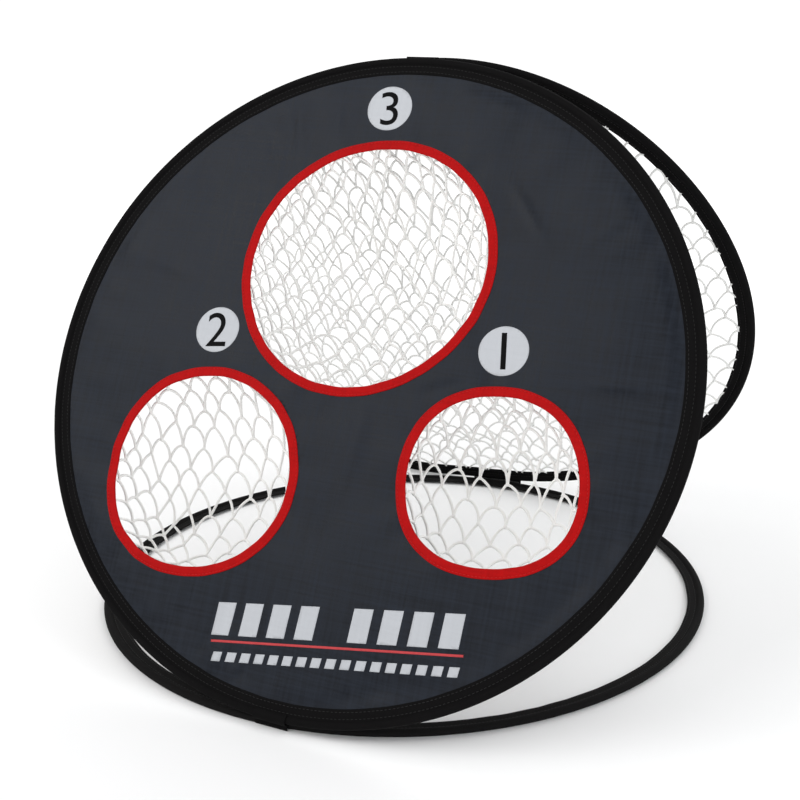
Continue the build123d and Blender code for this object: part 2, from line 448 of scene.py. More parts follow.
ACROSS = Vector((1, 0, 0))
BASE_SHAPE = HoopShape(
    Vector((0, 0, GROUND_FLAT)), ACROSS, Vector((0, 1, 0)), Vector((0, 0, 1)), side=-0.002, skew=0.015, lift=0.0004
)
FRONT_SHAPE = HoopShape(
    Vector((0, -MIDDLE_Y, MIDDLE_Z)), ACROSS, Vector((0, cos(LEAN), sin(LEAN))), Vector((0, -sin(LEAN), cos(LEAN)))
)
REAR_SHAPE = HoopShape(
    Vector((0, MIDDLE_Y, MIDDLE_Z)), ACROSS, Vector((0, -cos(LEAN), sin(LEAN))), Vector((0, -sin(LEAN), -cos(LEAN))),
    side=0.0065, skew=0.0128, skew_shift=-0.0172, shift=0.0027, corner=0.022,
)


def spun_section(outline: Sequence[Point], steps: int, middle: Point = (0.0, 0.0)) -> bmesh.types.BMesh:
    """Spin a closed radial outline all the way round an upright axis.

    Args:
        outline: radius and height of each point.
        steps: steps in the full turn.
        middle: where the axis stands.

    Returns:
        A closed ring with its faces outwards.
    """
    shape = bmesh.new()
    corners = [shape.verts.new((middle[0] + radius, middle[1], height)) for radius, height in outline]
    edges = [shape.edges.new((corner, corners[index - 1])) for index, corner in enumerate(corners)]
    bmesh.ops.spin(
        shape, geom=corners + edges, cent=(*middle, 0.0), axis=(0, 0, 1), angle=2 * pi, steps=steps, use_merge=True
    )
    bmesh.ops.recalc_face_normals(shape, faces=shape.faces)
    return shape


def arc_points(centre: Point, radius: float, start: float, end: float, count: int) -> list[Point]:
    """Points along an arc, in radius and height.

    Args:
        centre: the arc's centre.
        radius: the arc's radius.
        start: first angle in degrees.
        end: last angle in degrees.
        count: number of points.

    Returns:
        The points.
    """
    angles = [radians(start + (end - start) * index / (count - 1)) for index in range(count)]
    return [(centre[0] + radius * cos(angle), centre[1] + radius * sin(angle)) for angle in angles]


def take_in(target: bmesh.types.BMesh, other: bmesh.types.BMesh) -> None:
    """Add another shape's geometry to a shape, and free the other."""
    carrier = bpy.data.meshes.new("carrier")
    other.to_mesh(carrier)
    other.free()
    target.from_mesh(carrier)
    bpy.data.meshes.remove(carrier)


def repeated(pattern: bmesh.types.BMesh, places: Iterable[Matrix], shape: bmesh.types.BMesh) -> None:
    """Add a copy of one small pattern to a shape at every place, and free the pattern.

    Args:
        pattern: the small shape.
        places: where each copy goes.
        shape: what the copies are added to.
    """
    unit = bpy.data.meshes.new("unit")
    pattern.to_mesh(unit)
    pattern.free()
    for place in places:
        moved = unit.copy()
        moved.transform(place)
        shape.from_mesh(moved)
        bpy.data.meshes.remove(moved)
    bpy.data.meshes.remove(unit)


@dataclass
class Seam:
    """A ring of stitches through a hem or tape."""

    middle: Point
    radius: float
    height: float
    pitch: float = 0.0036
    length: float = 0.0026
    thickness: float = 0.0005

    def build(self) -> bmesh.types.BMesh:
        """Lay the stitches round the ring, in the flat layout.

        Returns:
            The stitches.
        """
        shape = bmesh.new()
        count = int(2 * pi * self.radius / self.pitch)
        start = Matrix.Translation((*self.middle, self.height))
        out = Matrix.Translation((self.radius, 0.0, 0.0))
        stitch = bmesh.new()
        size = Matrix.Diagonal((self.thickness / 2, self.length / 2, self.thickness / 2, 1.0))
        bmesh.ops.create_uvsphere(stitch, u_segments=6, v_segments=4, radius=1.0, matrix=size)
        turns = [start @ Matrix.Rotation(2 * pi * index / count, 4, "Z") @ out for index in range(count)]
        repeated(stitch, turns, shape)
        return shape


@dataclass
class Hoop:
    """One fabric-covered spring hoop: sleeve, its seams, wire and ferrule."""

    name: str
    body: Body
    shape: HoopShape
    cloth: Finish
    wire_seam: float
    pressed: bool = False
    ring_steps: int = 288
    seed: float = 0.0

    def sleeve_outline(self) -> list[Point]:
        """Section of the sleeve: round tunnel, flat hem with a rolled inner edge.

        Returns:
            Radius and height of each point.
        """
        leave = 180 - asin(HEM_HALF / SLEEVE_RADIUS) * 180 / pi
        tunnel = arc_points((WIRE_CIRCLE, 0), SLEEVE_RADIUS, leave, -leave, 24)
        if self.pressed:
            tunnel = [(radius, max(min(height, GROUND_FLAT), -GROUND_FLAT)) for radius, height in tunnel]
        inner = HOOP_RADIUS - SLEEVE_WIDTH
        under = [(inner + step, -HEM_HALF) for step in (0.0078, 0.0052, 0.0030)]
        fold = arc_points((inner + HEM_HALF, 0), HEM_HALF, 270, 90, 5)
        over = [(inner + step, HEM_HALF) for step in (0.0030, 0.0052, 0.0078)]
        return tunnel + under + fold + over

    def ruffle(self, verts: Iterable[bmesh.types.BMVert]) -> None:
        """Pucker the flat layout's cloth: the hem ripples, the tunnel is a little uneven."""
        for vert in verts:
            radius = hypot(vert.co.x, vert.co.y)
            hem = min(1.0, max(0.0, (WIRE_CIRCLE - radius) / 0.0134))
            spot = Vector((vert.co.x, vert.co.y, self.seed)) / 0.021
            fine = Vector((vert.co.x, vert.co.y, self.seed + 3.0)) / 0.0075
            ripple = noise.noise(spot) * 0.00042 * hem + noise.noise(fine) * 0.00010
            swell = 1 + (noise.noise(spot + Vector((9, 4, 2))) * 0.0011 + noise.noise(fine) * 0.0003) * hem * 1.2
            if self.pressed and vert.co.z < 0:
                ripple = abs(ripple)
            vert.co.x *= swell
            vert.co.y *= swell
            vert.co.z += ripple

    def sleeve(self) -> None:
        """Build the covered tunnel with its hollow for the wire, and the hem's two seams."""
        skin = spun_section(self.sleeve_outline(), self.ring_steps)
        hollow = spun_section(arc_points((WIRE_CIRCLE, 0), TUNNEL_RADIUS, 0, 337.5, 16), self.ring_steps)
        bmesh.ops.reverse_faces(hollow, faces=hollow.faces)
        self.ruffle(skin.verts)
        take_in(skin, hollow)
        self.shape.place(skin.verts)
        finished_piece(f"{self.name}_hoop_cover", skin, self.body, self.cloth, f"{self.name}_sleeve")
        seams = bmesh.new()
        for radius in (HOOP_RADIUS - SLEEVE_WIDTH + 0.0026, WIRE_CIRCLE - SLEEVE_RADIUS - 0.0016):
            for side in (1, -1):
                row = Seam((0.0, 0.0), radius, side * (HEM_HALF + 0.00006)).build()
                take_in(seams, row)
        self.ruffle(seams.verts)
        self.shape.place(seams.verts)
        finished_piece(f"{self.name}_hoop_seams", seams, self.body, BLACK_THREAD)

    def spring(self) -> None:
        """Build the wire and the ferrule over its ends, sprung like the sleeve."""
        wire = spun_section(arc_points((WIRE_CIRCLE, 0), WIRE_RADIUS, 0, 330, 12), self.ring_steps)
        self.shape.place(wire.verts)
        finished_piece(f"{self.name}_hoop_spring_wire", wire, self.body, SPRING_STEEL, f"{self.name}_hoop_wire")
        tube = bmesh.new()
        outer = arc_points((WIRE_CIRCLE, 0), FERRULE_RADIUS, 0, 337.5, 16)
        rings = []
        for points in (outer, arc_points((WIRE_CIRCLE, 0), FERRULE_BORE, 0, 337.5, 16)):
            corners = [tube.verts.new((radius, 0.0, height)) for radius, height in points]
            rings += [tube.edges.new((corner, corners[index - 1])) for index, corner in enumerate(corners)]
        faces = bmesh.ops.bridge_loops(tube, edges=rings)["faces"]
        arc = FERRULE_LENGTH / WIRE_CIRCLE
        bmesh.ops.rotate(tube, verts=tube.verts, matrix=Matrix.Rotation(self.wire_seam - arc / 2, 3, "Z"))
        bmesh.ops.spin(tube, geom=faces, cent=(0, 0, 0), axis=(0, 0, 1), angle=arc, steps=12)
        bmesh.ops.remove_doubles(tube, verts=tube.verts, dist=1e-6)
        bmesh.ops.recalc_face_normals(tube, faces=tube.faces)
        self.shape.place(tube.verts)
        finished_piece(f"{self.name}_hoop_crimp", tube, self.body, FERRULE_STEEL, f"{self.name}_hoop_ferrule")

    def build(self) -> None:
        """Make every piece of the hoop."""
        self.sleeve()
        self.spring()


# ---------------------------------------------------------------- panel


@dataclass(frozen=True)
class Crease:
    """A soft fold in the cloth: where it is, which way it runs, how long, wide and high."""

    x: float
    y: float
    run: float
    length: float
    width: float
    height: float

    def rise(self, x: float, y: float) -> float:
        """Height of the crease at a point of the panel."""
        dx, dy = x - self.x, y - self.y
        angle = radians(self.run)
        along = (dx * cos(angle) + dy * sin(angle)) / self.length
        across = (dy * cos(angle) - dx * sin(angle)) / self.width
        reach = along * along + across * across
        return self.height * 2.718 ** (-reach) if reach < 9 else 0.0


@dataclass
class Target:
    """One scoring hole: its place in the turned panel, its clear radius and its number disc."""

    number: str
    layout: Point
    clear: float
    disc_layout: Point
    waves: tuple[tuple[int, float, float], ...]
    middle: Point = field(init=False)
    disc: Point = field(init=False)

    def __post_init__(self) -> None:
        """Turn the layout into the front hoop's own axes."""
        self.middle = turned(self.layout)
        self.disc = turned(self.disc_layout)

    def out_of_round(self, angle: float) -> float:
        """How far the sewn edge lies outside the true circle at an angle."""
        return sum(c * cos(n * angle) + s * sin(n * angle) for n, c, s in self.waves)

    def distance(self, x: float, y: float) -> tuple[float, float]:
        """Distance of a point from the hole's middle, and its angle there."""
        dx, dy = x - self.middle[0], y - self.middle[1]
        return hypot(dx, dy), atan2(dy, dx)


def turned(point: Point, angle: float = PANEL_TURN) -> Point:
    """Turn a point of the panel's own layout into the front hoop's axes."""
    x, y = point
    return (x * cos(angle) - y * sin(angle), x * sin(angle) + y * cos(angle))


TARGETS = (
    Target("1", (0.1355, -0.0943), 0.074, (0.138, 0.018), ((2, 0.0010, -0.0003), (3, 0.0004, -0.0008), (4, -0.0011, -0.0008))),
    Target("2", (-0.1355, -0.0943), 0.0885, (-0.137, 0.0385), ((2, 0.0003, -0.0006), (3, 0.0007, -0.0001), (4, -0.0007, -0.0005))),
    Target("3", (0.003, 0.099), 0.114, (0.0105, 0.254), ((2, -0.0003, 0.0014), (3, 0.0001, 0.0004), (4, -0.0001, -0.0003))),
)
CREASES = (
    Crease(0.240, 0.017, 4, 0.030, 0.0035, 0.0012),
    Crease(0.262, 0.004, -8, 0.022, 0.0030, -0.0010),
    Crease(-0.044, -0.275, 62, 0.016, 0.0035, 0.0011),
    Crease(-0.062, -0.266, 70, 0.018, 0.0030, 0.0010),
    Crease(-0.078, -0.258, 75, 0.016, 0.0030, -0.0009),
    Crease(0.064, -0.279, 95, 0.012, 0.0050, -0.0018),
    Crease(0.130, 0.163, 128, 0.026, 0.0035, 0.0011),
    Crease(0.090, -0.004, 20, 0.018, 0.0050, -0.0010),
    Crease(-0.107, 0.224, 105, 0.024, 0.0045, 0.0011),
    Crease(-0.130, 0.205, 115, 0.022, 0.0040, -0.0009),
    Crease(-0.070, 0.240, 98, 0.020, 0.0040, 0.0008),
    Crease(-0.215, 0.080, 165, 0.030, 0.0060, 0.0010),
    Crease(0.205, 0.150, 40, 0.030, 0.0060, 0.0009),
    Crease(0.020, -0.060, 85, 0.050, 0.0090, 0.0012),
    Crease(0.000, -0.150, 90, 0.040, 0.0080, -0.0010),
)


def smooth_share(value: float) -> float:
    """Smooth step from 0 to 1 as value goes from 0 to 1."""
    value = min(1.0, max(0.0, value))
    return value * value * (3 - 2 * value)


def relief(x: float, y: float) -> float:
    """Out-of-plane height of the stretched cloth, with pulls at the hem and the holes.

    Args:
        x: across the panel.
        y: up the panel.

    Returns:
        The height towards the player, zero inside the hem.
    """
    radius, angle = hypot(x, y), atan2(y, x)
    calm = 1 - smooth_share((radius - 0.274) / 0.014)
    height = noise.noise(Vector((x, y, 0.3)) / 0.115) * 0.0032 + noise.noise(Vector((x, y, 5.1)) / 0.047) * 0.0007
    pull = smooth_share((radius - 0.215) / 0.06)
    ray = Vector((cos(angle), sin(angle), 0.0)) * 11.0
    height += noise.noise(ray + Vector((0, 0, radius * 7))) * 0.0015 * pull
    for target in TARGETS:
        away, bearing = target.distance(x, y)
        near = 1 - smooth_share((away - target.clear) / 0.045)
        if near > 0:
            spoke = Vector((cos(bearing), sin(bearing), target.clear * 40)) * (target.clear * 60)
            height += noise.noise(spoke) * 0.0013 * near
    height += sum(crease.rise(x, y) for crease in CREASES)
    return height * calm


@dataclass
class Panel:
    """The printed nylon face with its three cut holes."""

    cell: float = 0.0036
    body: Body = Body.FRONT

    def keep_inside(self, shape: bmesh.types.BMesh) -> None:
        """Trim the square cloth to its disc and cut the holes, then true up the cut edges."""
        rim = PANEL_RADIUS - self.cell * 0.6
        loose = []
        for vert in shape.verts:
            cut = vert.co.xy.length > rim
            for target in TARGETS:
                away, bearing = target.distance(vert.co.x, vert.co.y)
                cut = cut or away < target.clear + target.out_of_round(bearing) + 0.001 + self.cell * 0.6
            if cut:
                loose.append(vert)
        bmesh.ops.delete(shape, geom=loose, context="VERTS")
        stray = [vert for vert in shape.verts if len(vert.link_faces) == 0]
        bmesh.ops.delete(shape, geom=stray, context="VERTS")
        for vert in [vert for vert in shape.verts if vert.is_boundary]:
            vert.co.xy = self.true_edge(vert.co.xy)
        bmesh.ops.remove_doubles(shape, verts=shape.verts, dist=self.cell * 0.22)

    def true_edge(self, spot: Vector) -> Vector:
        """Nearest point of the rim or a hole's edge to a point beside it."""
        for target in TARGETS:
            away, bearing = target.distance(spot.x, spot.y)
            edge = target.clear + target.out_of_round(bearing) + 0.001
            if away < edge + 3 * self.cell:
                return Vector(target.middle) + Vector((cos(bearing), sin(bearing))) * edge
        return spot.normalized() * PANEL_RADIUS

    def build(self) -> None:
        shape = bmesh.new()
        cells = int(2 * PANEL_RADIUS / self.cell)
        bmesh.ops.create_grid(shape, x_segments=cells, y_segments=cells, size=PANEL_RADIUS + 0.001)
        self.keep_inside(shape)
        for vert in shape.verts:
            vert.co.z = relief(vert.co.x, vert.co.y) - CLOTH / 2
        bmesh.ops.recalc_face_normals(shape, faces=shape.faces)
        if sum(face.normal.z for face in shape.faces) > 0:
            bmesh.ops.reverse_faces(shape, faces=shape.faces)
        bmesh.ops.solidify(shape, geom=shape.faces, thickness=CLOTH)
        bmesh.ops.recalc_face_normals(shape, faces=shape.faces)
        FRONT_SHAPE.place(shape.verts)
        cloth = finished_piece("panel_cloth", shape, self.body, PANEL_CLOTH, "front_panel")


# ---------------------------------------------------------------- prints


def laid_on_panel(shape: bmesh.types.BMesh, lift: float) -> None:
    """Settle a flat shape on the creased cloth, lift above its face, and stand it in the row frame."""
    for vert in shape.verts:
        vert.co.z += relief(vert.co.x, vert.co.y) + CLOTH / 2 + lift
    FRONT_SHAPE.place(shape.verts)


def quilted(shape: bmesh.types.BMesh, pitch: float = 0.003) -> None:
    """Cut a flat shape into small squares, so that it can follow the cloth."""
    for axis in (0, 1):
        low = min(vert.co[axis] for vert in shape.verts)
        high = max(vert.co[axis] for vert in shape.verts)
        normal = Vector((1 - axis, axis, 0))
        for index in range(1, int((high - low) / pitch) + 1):
            everything = shape.verts[:] + shape.edges[:] + shape.faces[:]
            bmesh.ops.bisect_plane(shape, geom=everything, plane_co=normal * (low + index * pitch), plane_no=normal)


def printed_film(shape: bmesh.types.BMesh, thickness: float = 0.00012) -> None:
    """Give a flat print its small thickness."""
    quilted(shape)
    for face in shape.faces:
        face.normal_update()
    if sum(face.normal.z for face in shape.faces) > 0:
        bmesh.ops.reverse_faces(shape, faces=shape.faces)
    bmesh.ops.solidify(shape, geom=shape.faces, thickness=thickness)
    bmesh.ops.recalc_face_normals(shape, faces=shape.faces)


@dataclass
class Emblem:
    """The generic print under the holes: two groups of leaning bars, a rule and a row of dashes."""

    turn: float = radians(8.8)
    bar_count: int = 8
    bar: Point = (0.017, 0.028)
    bar_pitch: float = 0.0262
    bar_slant: float = 0.005
    group_gap: float = 0.022
    bar_middle: float = -0.2205
    rule: Point = (0.226, 0.002)
    rule_middle: float = -0.2395
    dash_count: int = 17
    dash: Point = (0.0085, 0.008)
    dash_pitch: float = 0.0132
    dash_slant: float = 0.002
    dash_middle: float = -0.2525
    middle_x: float = 0.004

    def leaning(self, shape: bmesh.types.BMesh, middle: Point, size: Point, slant: float) -> None:
        """Add one leaning bar as a small grid.

        Args:
            shape: what it is added to.
            middle: its middle in the panel's layout.
            size: width and height.
            slant: how far its top leans over its foot.
        """
        place = Matrix.Translation((*middle, 0.0)) @ Matrix.Diagonal((size[0] / 2, size[1] / 2, 1.0, 1.0))
        cells = (max(2, int(size[0] / 0.004)), max(2, int(size[1] / 0.004)))
        made = bmesh.ops.create_grid(shape, x_segments=cells[0], y_segments=cells[1], size=1.0, matrix=place)
        for vert in made["verts"]:
            vert.co.x += slant * (vert.co.y - middle[1]) / size[1]

    def printed(self, name: str, shape: bmesh.types.BMesh, finish: Finish, node: str) -> None:
        """Turn, thicken and settle a print on the panel."""
        bmesh.ops.rotate(shape, verts=shape.verts, cent=(0, 0, 0), matrix=Matrix.Rotation(self.turn, 3, "Z"))
        printed_film(shape)
        laid_on_panel(shape, PRINT_LIFT)
        finished_piece(name, shape, Body.FRONT, finish, node)

    def build(self) -> None:
        """Make the three prints."""
        bars = bmesh.new()
        for index in range(self.bar_count):
            side = 1 if index >= self.bar_count / 2 else -1
            x = self.middle_x + (index - (self.bar_count - 1) / 2) * self.bar_pitch + side * self.group_gap / 2
            self.leaning(bars, (x, self.bar_middle), self.bar, self.bar_slant)
        self.printed("emblem_bar_print", bars, PRINT_GREY, "emblem_bars")
        rule = bmesh.new()
        self.leaning(rule, (self.middle_x, self.rule_middle), self.rule, 0.0)
        self.printed("emblem_rule_print", rule, PRINT_RED, "emblem_rule")
        dashes = bmesh.new()
        for index in range(self.dash_count):
            x = self.middle_x + (index - (self.dash_count - 1) / 2) * self.dash_pitch
            self.leaning(dashes, (x, self.dash_middle), self.dash, self.dash_slant)
        self.printed("emblem_dash_print", dashes, PRINT_GREY, "emblem_dashes")


@dataclass
class NumberDisc:
    """A pale printed disc with its dark numeral."""

    target: Target
    radius: float = 0.022
    numeral_height: float = 0.0475
    numeral_slant: float = -0.03

    def disc(self) -> None:
        """Build the round print."""
        shape = bmesh.new()
        bmesh.ops.create_circle(shape, cap_ends=True, segments=72, radius=self.radius)
        bmesh.ops.translate(shape, verts=shape.verts, vec=(*self.target.disc, 0.0))
        printed_film(shape)
        laid_on_panel(shape, PRINT_LIFT)
        number = self.target.number
        finished_piece(f"number_{number}_disc_print", shape, Body.FRONT, PRINT_GREY, f"number_disc_{number}")

    def numeral(self) -> None:
        """Build the numeral from plain sans lettering."""
        letters = bpy.data.curves.new("numeral", "FONT")
        letters.body = self.target.number
        letters.size = self.numeral_height
        letters.shear = self.numeral_slant
        letters.align_x, letters.align_y = "CENTER", "CENTER"
        letters.resolution_u = 8
        holder = bpy.data.objects.new("numeral", letters)
        bpy.context.scene.collection.objects.link(holder)
        bpy.context.view_layer.update()
        flat = bpy.data.meshes.new_from_object(holder.evaluated_get(bpy.context.evaluated_depsgraph_get()))
        bpy.data.objects.remove(holder)
        shape = bmesh.new()
        shape.from_mesh(flat)
        bpy.data.meshes.remove(flat)
        bmesh.ops.remove_doubles(shape, verts=shape.verts, dist=1e-6)
        low = [min(vert.co[axis] for vert in shape.verts) for axis in (0, 1)]
        high = [max(vert.co[axis] for vert in shape.verts) for axis in (0, 1)]
        middle = Vector(((low[0] + high[0]) / 2, (low[1] + high[1]) / 2, 0.0))
        bmesh.ops.translate(shape, verts=shape.verts, vec=-middle)
        bmesh.ops.rotate(shape, verts=shape.verts, cent=(0, 0, 0), matrix=Matrix.Rotation(PANEL_TURN, 3, "Z"))
        bmesh.ops.translate(shape, verts=shape.verts, vec=(*self.target.disc, 0.0))
        printed_film(shape, 0.0001)
        laid_on_panel(shape, PRINT_LIFT + 0.00012)
        finished_piece(f"number_{self.target.number}_numeral_print", shape, Body.FRONT, PRINT_DARK)

    def build(self) -> None:
        """Make the disc and its numeral."""
        self.disc()
        self.numeral()


# ---------------------------------------------------------------- bindings


@dataclass
class Binding:
    """Folded red tape sewn round the edge of one hole."""

    target: Target
    half: float = 0.0012
    steps: int = 200

    def outline(self) -> list[Point]:
        """Section of the folded tape from its outer edges round the fold.

        Returns:
            Radius from the hole's middle, and height.
        """
        clear = self.target.clear
        fold = arc_points((clear + self.half, 0), self.half, 265, 95, 9)
        rise = ((0.0022, 0.00122), (0.0045, 0.00105), (0.0062, 0.00100), (0.0069, 0.00066), (0.0076, 0.00112), (0.0084, 0.00104))
        over = [(clear + step, high) for step, high in rise]
        tuck = [(clear + BINDING_WIDTH, 0.00070), (clear + BINDING_WIDTH, -0.00070)]
        under = [(radius, -high) for radius, high in reversed(over)]
        return over + tuck + under + fold

    def settle(self, verts: Iterable[bmesh.types.BMVert]) -> None:
        """Pull the true ring into the sewn line, with the tape's small puckers, and lay it on the cloth."""
        middle = Vector(self.target.middle)
        for vert in verts:
            away, bearing = self.target.distance(vert.co.x, vert.co.y)
            spot = Vector((cos(bearing), sin(bearing), 0.0)) * (self.target.clear / 0.016)
            wobble = noise.noise(spot) * 0.0005 + self.target.out_of_round(bearing)
            fine = Vector((vert.co.x, vert.co.y, vert.co.z * 4)) / 0.0058
            away += wobble
            flat = middle + Vector((cos(bearing), sin(bearing))) * away
            edge = smooth_share((away - wobble - self.target.clear) / 0.004)
            pucker = noise.noise(fine) * 0.00022 * edge * (1 if vert.co.z > 0 else -1)
            vert.co = Vector((flat.x, flat.y, vert.co.z + pucker + relief(flat.x, flat.y)))
        FRONT_SHAPE.place(verts)

    def build(self) -> None:
        """Make the tape and its stitches."""
        number = self.target.number
        tape = spun_section(self.outline(), self.steps, self.target.middle)
        self.settle(tape.verts)
        finished_piece(f"hole_{number}_red_tape", tape, Body.FRONT, RED_TAPE, f"hole_binding_{number}")
        stitches = bmesh.new()
        for side in (1, -1):
            take_in(stitches, Seam(self.target.middle, self.target.clear + 0.0070, side * 0.00084, 0.0034, 0.0025, 0.00050).build())
        self.settle(stitches.verts)
        finished_piece(f"hole_{number}_tape_stitches", stitches, Body.FRONT, RED_THREAD)


# ---------------------------------------------------------------- nets


@dataclass
class TwineNet:
    """Knotted twine: rows of arches that hang from the crowns of the row below, cut to a disc and draped."""

    name: str
    reach: float
    drape: Callable[[float, float], Vector]
    body: Body
    shape: HoopShape
    node: str
    seed: int
    cell_width: float = 0.0235
    row_height: float = 0.0185
    twine: float = 0.00128
    stray: float = 0.0031
    half_steps: int = 6
    turn: float = 0.0

    def knots(self) -> dict[tuple[int, int], Vector]:
        """Flat places of the knots, uneven as in a hand-tied net.

        Returns:
            Place of the knot in each row and column.
        """
        draw = random.Random(self.seed)
        rows = int(self.reach / self.row_height) + 2
        columns = int(self.reach / self.cell_width) + 2
        places = {}
        for row in range(-rows, rows + 1):
            for column in range(-columns, columns + 1):
                x = (column + 0.5 * (row % 2)) * self.cell_width + draw.gauss(0, self.stray * 0.55)
                y = row * self.row_height + draw.gauss(0, self.stray * 0.55)
                drift = Vector((x, y, self.seed * 1.7)) / 0.055
                x += noise.noise(drift) * self.stray * 2.2
                y += noise.noise(drift + Vector((7, 3, 1))) * self.stray * 2.2
                c, s = cos(self.turn), sin(self.turn)
                places[row, column] = Vector((x * c - y * s, x * s + y * c))
        return places

    def half_arch(self, crown: Vector, foot: Vector, bulge: float, slack: float) -> list[Vector]:
        """Flat points from a crown down to a foot, the last number of each its height off the net.

        Args:
            crown: the knot that the arch hangs from.
            foot: the knot below, at one side.
            bulge: 0 for a straight leg, 1 for a full round shoulder.
            slack: how far the leg stands off the net at its middle.

        Returns:
            The points, from crown to foot.
        """
        points = []
        for step in range(self.half_steps + 1):
            share = step / self.half_steps
            angle = share * pi / 2
            side = (1 - bulge) * share + bulge * sin(angle)
            down = (1 - bulge) * share + bulge * (1 - cos(angle))
            x = crown.x + (foot.x - crown.x) * side
            y = crown.y + (foot.y - crown.y) * down
            points.append(Vector((x, y, slack * sin(share * pi))))
        return points

    def cut(self, path: list[Vector]) -> list[list[Vector]]:
        """Cut a path at the net's edge.

        Args:
            path: flat points.

        Returns:
            The stretches inside, each ending at the edge where it was cut.
        """
        stretches, current = [], []
        for before, point in zip([None] + path[:-1], path):
            inside = point.xy.length <= self.reach
            was_inside = before is not None and before.xy.length <= self.reach
            if before is not None and inside != was_inside:
                inner, outer = (point, before) if inside else (before, point)
                span = outer.xy.length - inner.xy.length
                edge = inner.lerp(outer, (self.reach - inner.xy.length) / span)
                current.append(edge)
            if inside:
                current.append(point)
            elif current:
                stretches.append(current)
                current = []
        if current:
            stretches.append(current)
        return [stretch for stretch in stretches if len(stretch) > 2]

    def draped(self, point: Vector) -> Vector:
        """Place a flat point of the net in the hoop's layout, its third number off the surface."""
        spot = self.drape(point.x, point.y)
        spot.z += point.z * smooth_share((self.reach - point.xy.length) / 0.014)
        return spot

    def twine_mesh(self, paths: list[list[Vector]]) -> bmesh.types.BMesh:
        """Turn the paths into round twine.

        Args:
            paths: points in the row frame.

        Returns:
            The twine.
        """
        line = bpy.data.curves.new("twine", "CURVE")
        line.dimensions = "3D"
        line.bevel_depth = self.twine
        line.bevel_resolution = 1
        line.use_fill_caps = True
        line.resolution_u = 1
        for path in paths:
            spline = line.splines.new("POLY")
            spline.points.add(len(path) - 1)
            for spot, point in zip(spline.points, path):
                spot.co = (*point, 1.0)
        holder = bpy.data.objects.new("twine", line)
        bpy.context.scene.collection.objects.link(holder)
        bpy.context.view_layer.update()
        solid = bpy.data.meshes.new_from_object(holder.evaluated_get(bpy.context.evaluated_depsgraph_get()))
        bpy.data.objects.remove(holder)
        shape = bmesh.new()
        shape.from_mesh(solid)
        bpy.data.meshes.remove(solid)
        bmesh.ops.recalc_face_normals(shape, faces=shape.faces)
        return shape

    def build(self) -> bpy.types.Object:
        """Tie and drape the net.

        Returns:
            The net's object.
        """
        draw = random.Random(self.seed + 100)
        places = self.knots()
        paths, tied = [], []
        for (row, column), crown in places.items():
            shift = row % 2
            left = places.get((row - 1, column - 1 + shift))
            right = places.get((row - 1, column + shift))
            if left is None or right is None:
                continue
            bulge = min(1.0, max(0.25, draw.gauss(0.72, 0.16)))
            legs = [self.half_arch(crown, foot, bulge, draw.gauss(0, 0.0012)) for foot in (left, right)]
            arch = legs[0][::-1] + legs[1][1:]
            for stretch in self.cut(arch):
                paths.append([self.shape.point(self.draped(point)) for point in stretch])
            if crown.length < self.reach - 0.002:
                tied.append(self.shape.point(self.drape(crown.x, crown.y)))
        shape = self.twine_mesh(paths)
        knot = bmesh.new()
        size = Matrix.Diagonal((self.twine * 1.75, self.twine * 1.45, self.twine * 1.45, 1.0))
        bmesh.ops.create_uvsphere(knot, u_segments=7, v_segments=5, radius=1.0, matrix=size)
        twists = [Quaternion([draw.gauss(0, 1) for _ in range(4)]).normalized() for _ in tied]
        turns = [Matrix.Translation(spot) @ twist.to_matrix().to_4x4() for spot, twist in zip(tied, twists)]
        repeated(knot, turns, shape)
        return finished_piece(self.name, shape, self.body, WHITE_TWINE, self.node)


@dataclass
class Pocket:
    """Net bag behind one hole."""

    target: Target
    seed: int
    margin: float = 0.0045
    start: float = 0.0021
    depth_share: float = 0.93
    droop_share: float = 0.36
    fullness: float = 0.75
    samples: int = 200
    around: list[float] = field(init=False)
    table: list[tuple[float, float, float]] = field(init=False)

    def __post_init__(self) -> None:
        """Measure the bag's fabric from its bottom to its rim."""
        rim = self.target.clear + self.margin
        depth = self.target.clear * self.depth_share
        self.table = []
        run = 0.0
        before = None
        for index in range(self.samples + 1):
            angle = pi / 2 * (1 - index / self.samples)
            width = rim * max(0.0, cos(angle)) ** self.fullness
            deep = depth * sin(angle)
            if before is not None:
                run += hypot(width - before[0], deep - before[1])
            self.table.append((run, width, deep))
            before = (width, deep)
        self.around = [row[0] for row in self.table]

    @property
    def reach(self) -> float:
        """Length of fabric from the bottom of the bag to its rim."""
        return self.around[-1]

    def drape(self, x: float, y: float) -> Vector:
        """Place a flat point of the net on the bag, in the front hoop's layout."""
        away, bearing = min(hypot(x, y), self.reach), atan2(y, x)
        width = float(np.interp(away, self.around, [row[1] for row in self.table]))
        deep = float(np.interp(away, self.around, [row[2] for row in self.table]))
        share = deep / (self.target.clear * self.depth_share)
        droop = self.droop_share * self.target.clear * share**1.6
        spot = Vector((width * cos(bearing), width * sin(bearing), 0.0)) * (1 + self.target.out_of_round(bearing) / self.target.clear)
        slack = noise.noise(Vector((x, y, self.seed)) / 0.04) * 0.004 * smooth_share(share * 3)
        middle = self.target.middle
        height = relief(middle[0] + spot.x, middle[1] + spot.y) * (1 - smooth_share(share * 4))
        return Vector((middle[0] + spot.x, middle[1] + spot.y - droop, -self.start - deep + slack + height))

    def build(self) -> None:
        """Tie the bag."""
        number = self.target.number
        net = TwineNet(
            f"pocket_{number}_twine_net", self.reach, self.drape, Body.FRONT, FRONT_SHAPE, f"pocket_net_{number}",
            self.seed, turn=PANEL_TURN,
        ).build()
        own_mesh(net)


